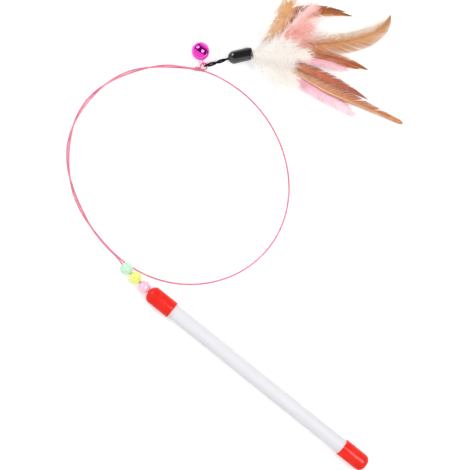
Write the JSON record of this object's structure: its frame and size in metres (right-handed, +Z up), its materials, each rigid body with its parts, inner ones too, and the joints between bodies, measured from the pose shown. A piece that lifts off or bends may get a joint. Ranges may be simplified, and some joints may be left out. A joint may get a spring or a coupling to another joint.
{
  "type": "cat teaser wand",
  "caption": "Cat teaser wand: tube handle with pushed-on caps, springy coated wire coiled in a loose loop, beads, a jingle bell and a feather lure on a short doubled cord.",
  "frame": {"origin": "on the handle's axis, midway along the bare grip", "axes": "+X along the handle from the rear cap to the wire's end, +Z up from the floor it lies on, the wire's loop lies to -Y"},
  "size_m": [0.2908, 0.2439, 0.0152],
  "materials": {
    "white_plastic": "smooth, slightly glossy",
    "red_cap": "smooth soft vinyl",
    "pink_wire": "spring steel with a pink coat",
    "pink_bead": "pearl gloss",
    "yellow_bead": "pearl gloss",
    "green_bead": "pearl gloss",
    "magenta_bell": "anodised metallic",
    "bell_steel": "plain steel",
    "black_cord": "twisted thread",
    "black_plastic": "glossy",
    "clear_glue": "clear hot-melt",
    "brown_feather": "barred feather vane",
    "tan_feather": "feather vane with a pale edge",
    "rust_feather": "feather vane",
    "pink_feather": "soft dyed plume",
    "white_feather": "soft down",
    "cream_feather": "soft down"
  },
  "bodies": {
    "wand": {"handle_tube": "white_plastic", "front_cap": "red_cap", "rear_cap": "red_cap", "wire_anchor": "pink_wire", "wire": "pink_wire", "wire_eye": "pink_wire"},
    "pink_bead": {"bead_pink": "pink_bead"},
    "yellow_bead": {"bead_yellow": "yellow_bead"},
    "green_bead": {"bead_green": "green_bead"},
    "shank": {"bell_shank": "bell_steel"},
    "bell": {"bell_shell": "magenta_bell"},
    "clapper": {"bell_clapper": "bell_steel"},
    "cord": {"lure_cord": "black_cord"},
    "lure": {"lure_cap": "black_plastic", "cord_knot": "black_cord", "glue_plug": "clear_glue", "feather_brown_top_long": "brown_feather", "feather_brown_top_short": "brown_feather", "feather_tan_broad": "tan_feather", "plume_pink_upper": "pink_feather", "plume_white_upper": "white_feather", "feather_brown_middle_long": "brown_feather", "feather_brown_middle_short": "brown_feather", "plume_pink_middle": "pink_feather", "feather_tan_curled": "tan_feather", "plume_cream_middle": "cream_feather", "plume_pink_lower": "pink_feather", "feather_brown_low_long": "brown_feather", "feather_rust_low": "rust_feather", "plume_cream_lower": "cream_feather"}
  },
  "joints": [
    {"name": "pink_bead_spin", "type": "hinge", "parent": "wand", "child": "pink_bead", "pos_m": [0.09422, -0.0005, -0.00011], "axis": [0.9928, -0.1166, -0.0262], "continuous": true},
    {"name": "yellow_bead_spin", "type": "hinge", "parent": "wand", "child": "yellow_bead", "pos_m": [0.10241, -0.00146, -0.00033], "axis": [0.9928, -0.1166, -0.0262], "continuous": true},
    {"name": "green_bead_spin", "type": "hinge", "parent": "wand", "child": "green_bead", "pos_m": [0.1106, -0.00242, -0.00054], "axis": [0.9928, -0.1166, -0.0262], "continuous": true},
    {"name": "bell_swing", "type": "hinge", "parent": "wand", "child": "shank", "pos_m": [0.1556, -0.1377, -0.0021], "axis": [-0.6252, -0.7804, 0], "range_deg": [-60, 45]},
    {"name": "bell_turn", "type": "hinge", "parent": "shank", "child": "bell", "pos_m": [0.16158, -0.14249, 0.00022], "axis": [0.747, -0.5985, 0.2894], "continuous": true},
    {"name": "clapper_rattle", "type": "slide", "parent": "bell", "child": "clapper", "axis": [0, 0, 1], "range_m": [0, 0.007]},
    {"name": "cord_lift", "type": "hinge", "parent": "wand", "child": "cord", "pos_m": [0.15278, -0.13813, -0.00244], "axis": [-0.8281, 0.5606, 0], "range_deg": [-45, 60]},
    {"name": "lure_swing", "type": "hinge", "parent": "cord", "child": "lure", "pos_m": [0.14516, -0.14939, -0.00153], "axis": [0, 0, 1], "range_deg": [-35, 35]}
  ]
}
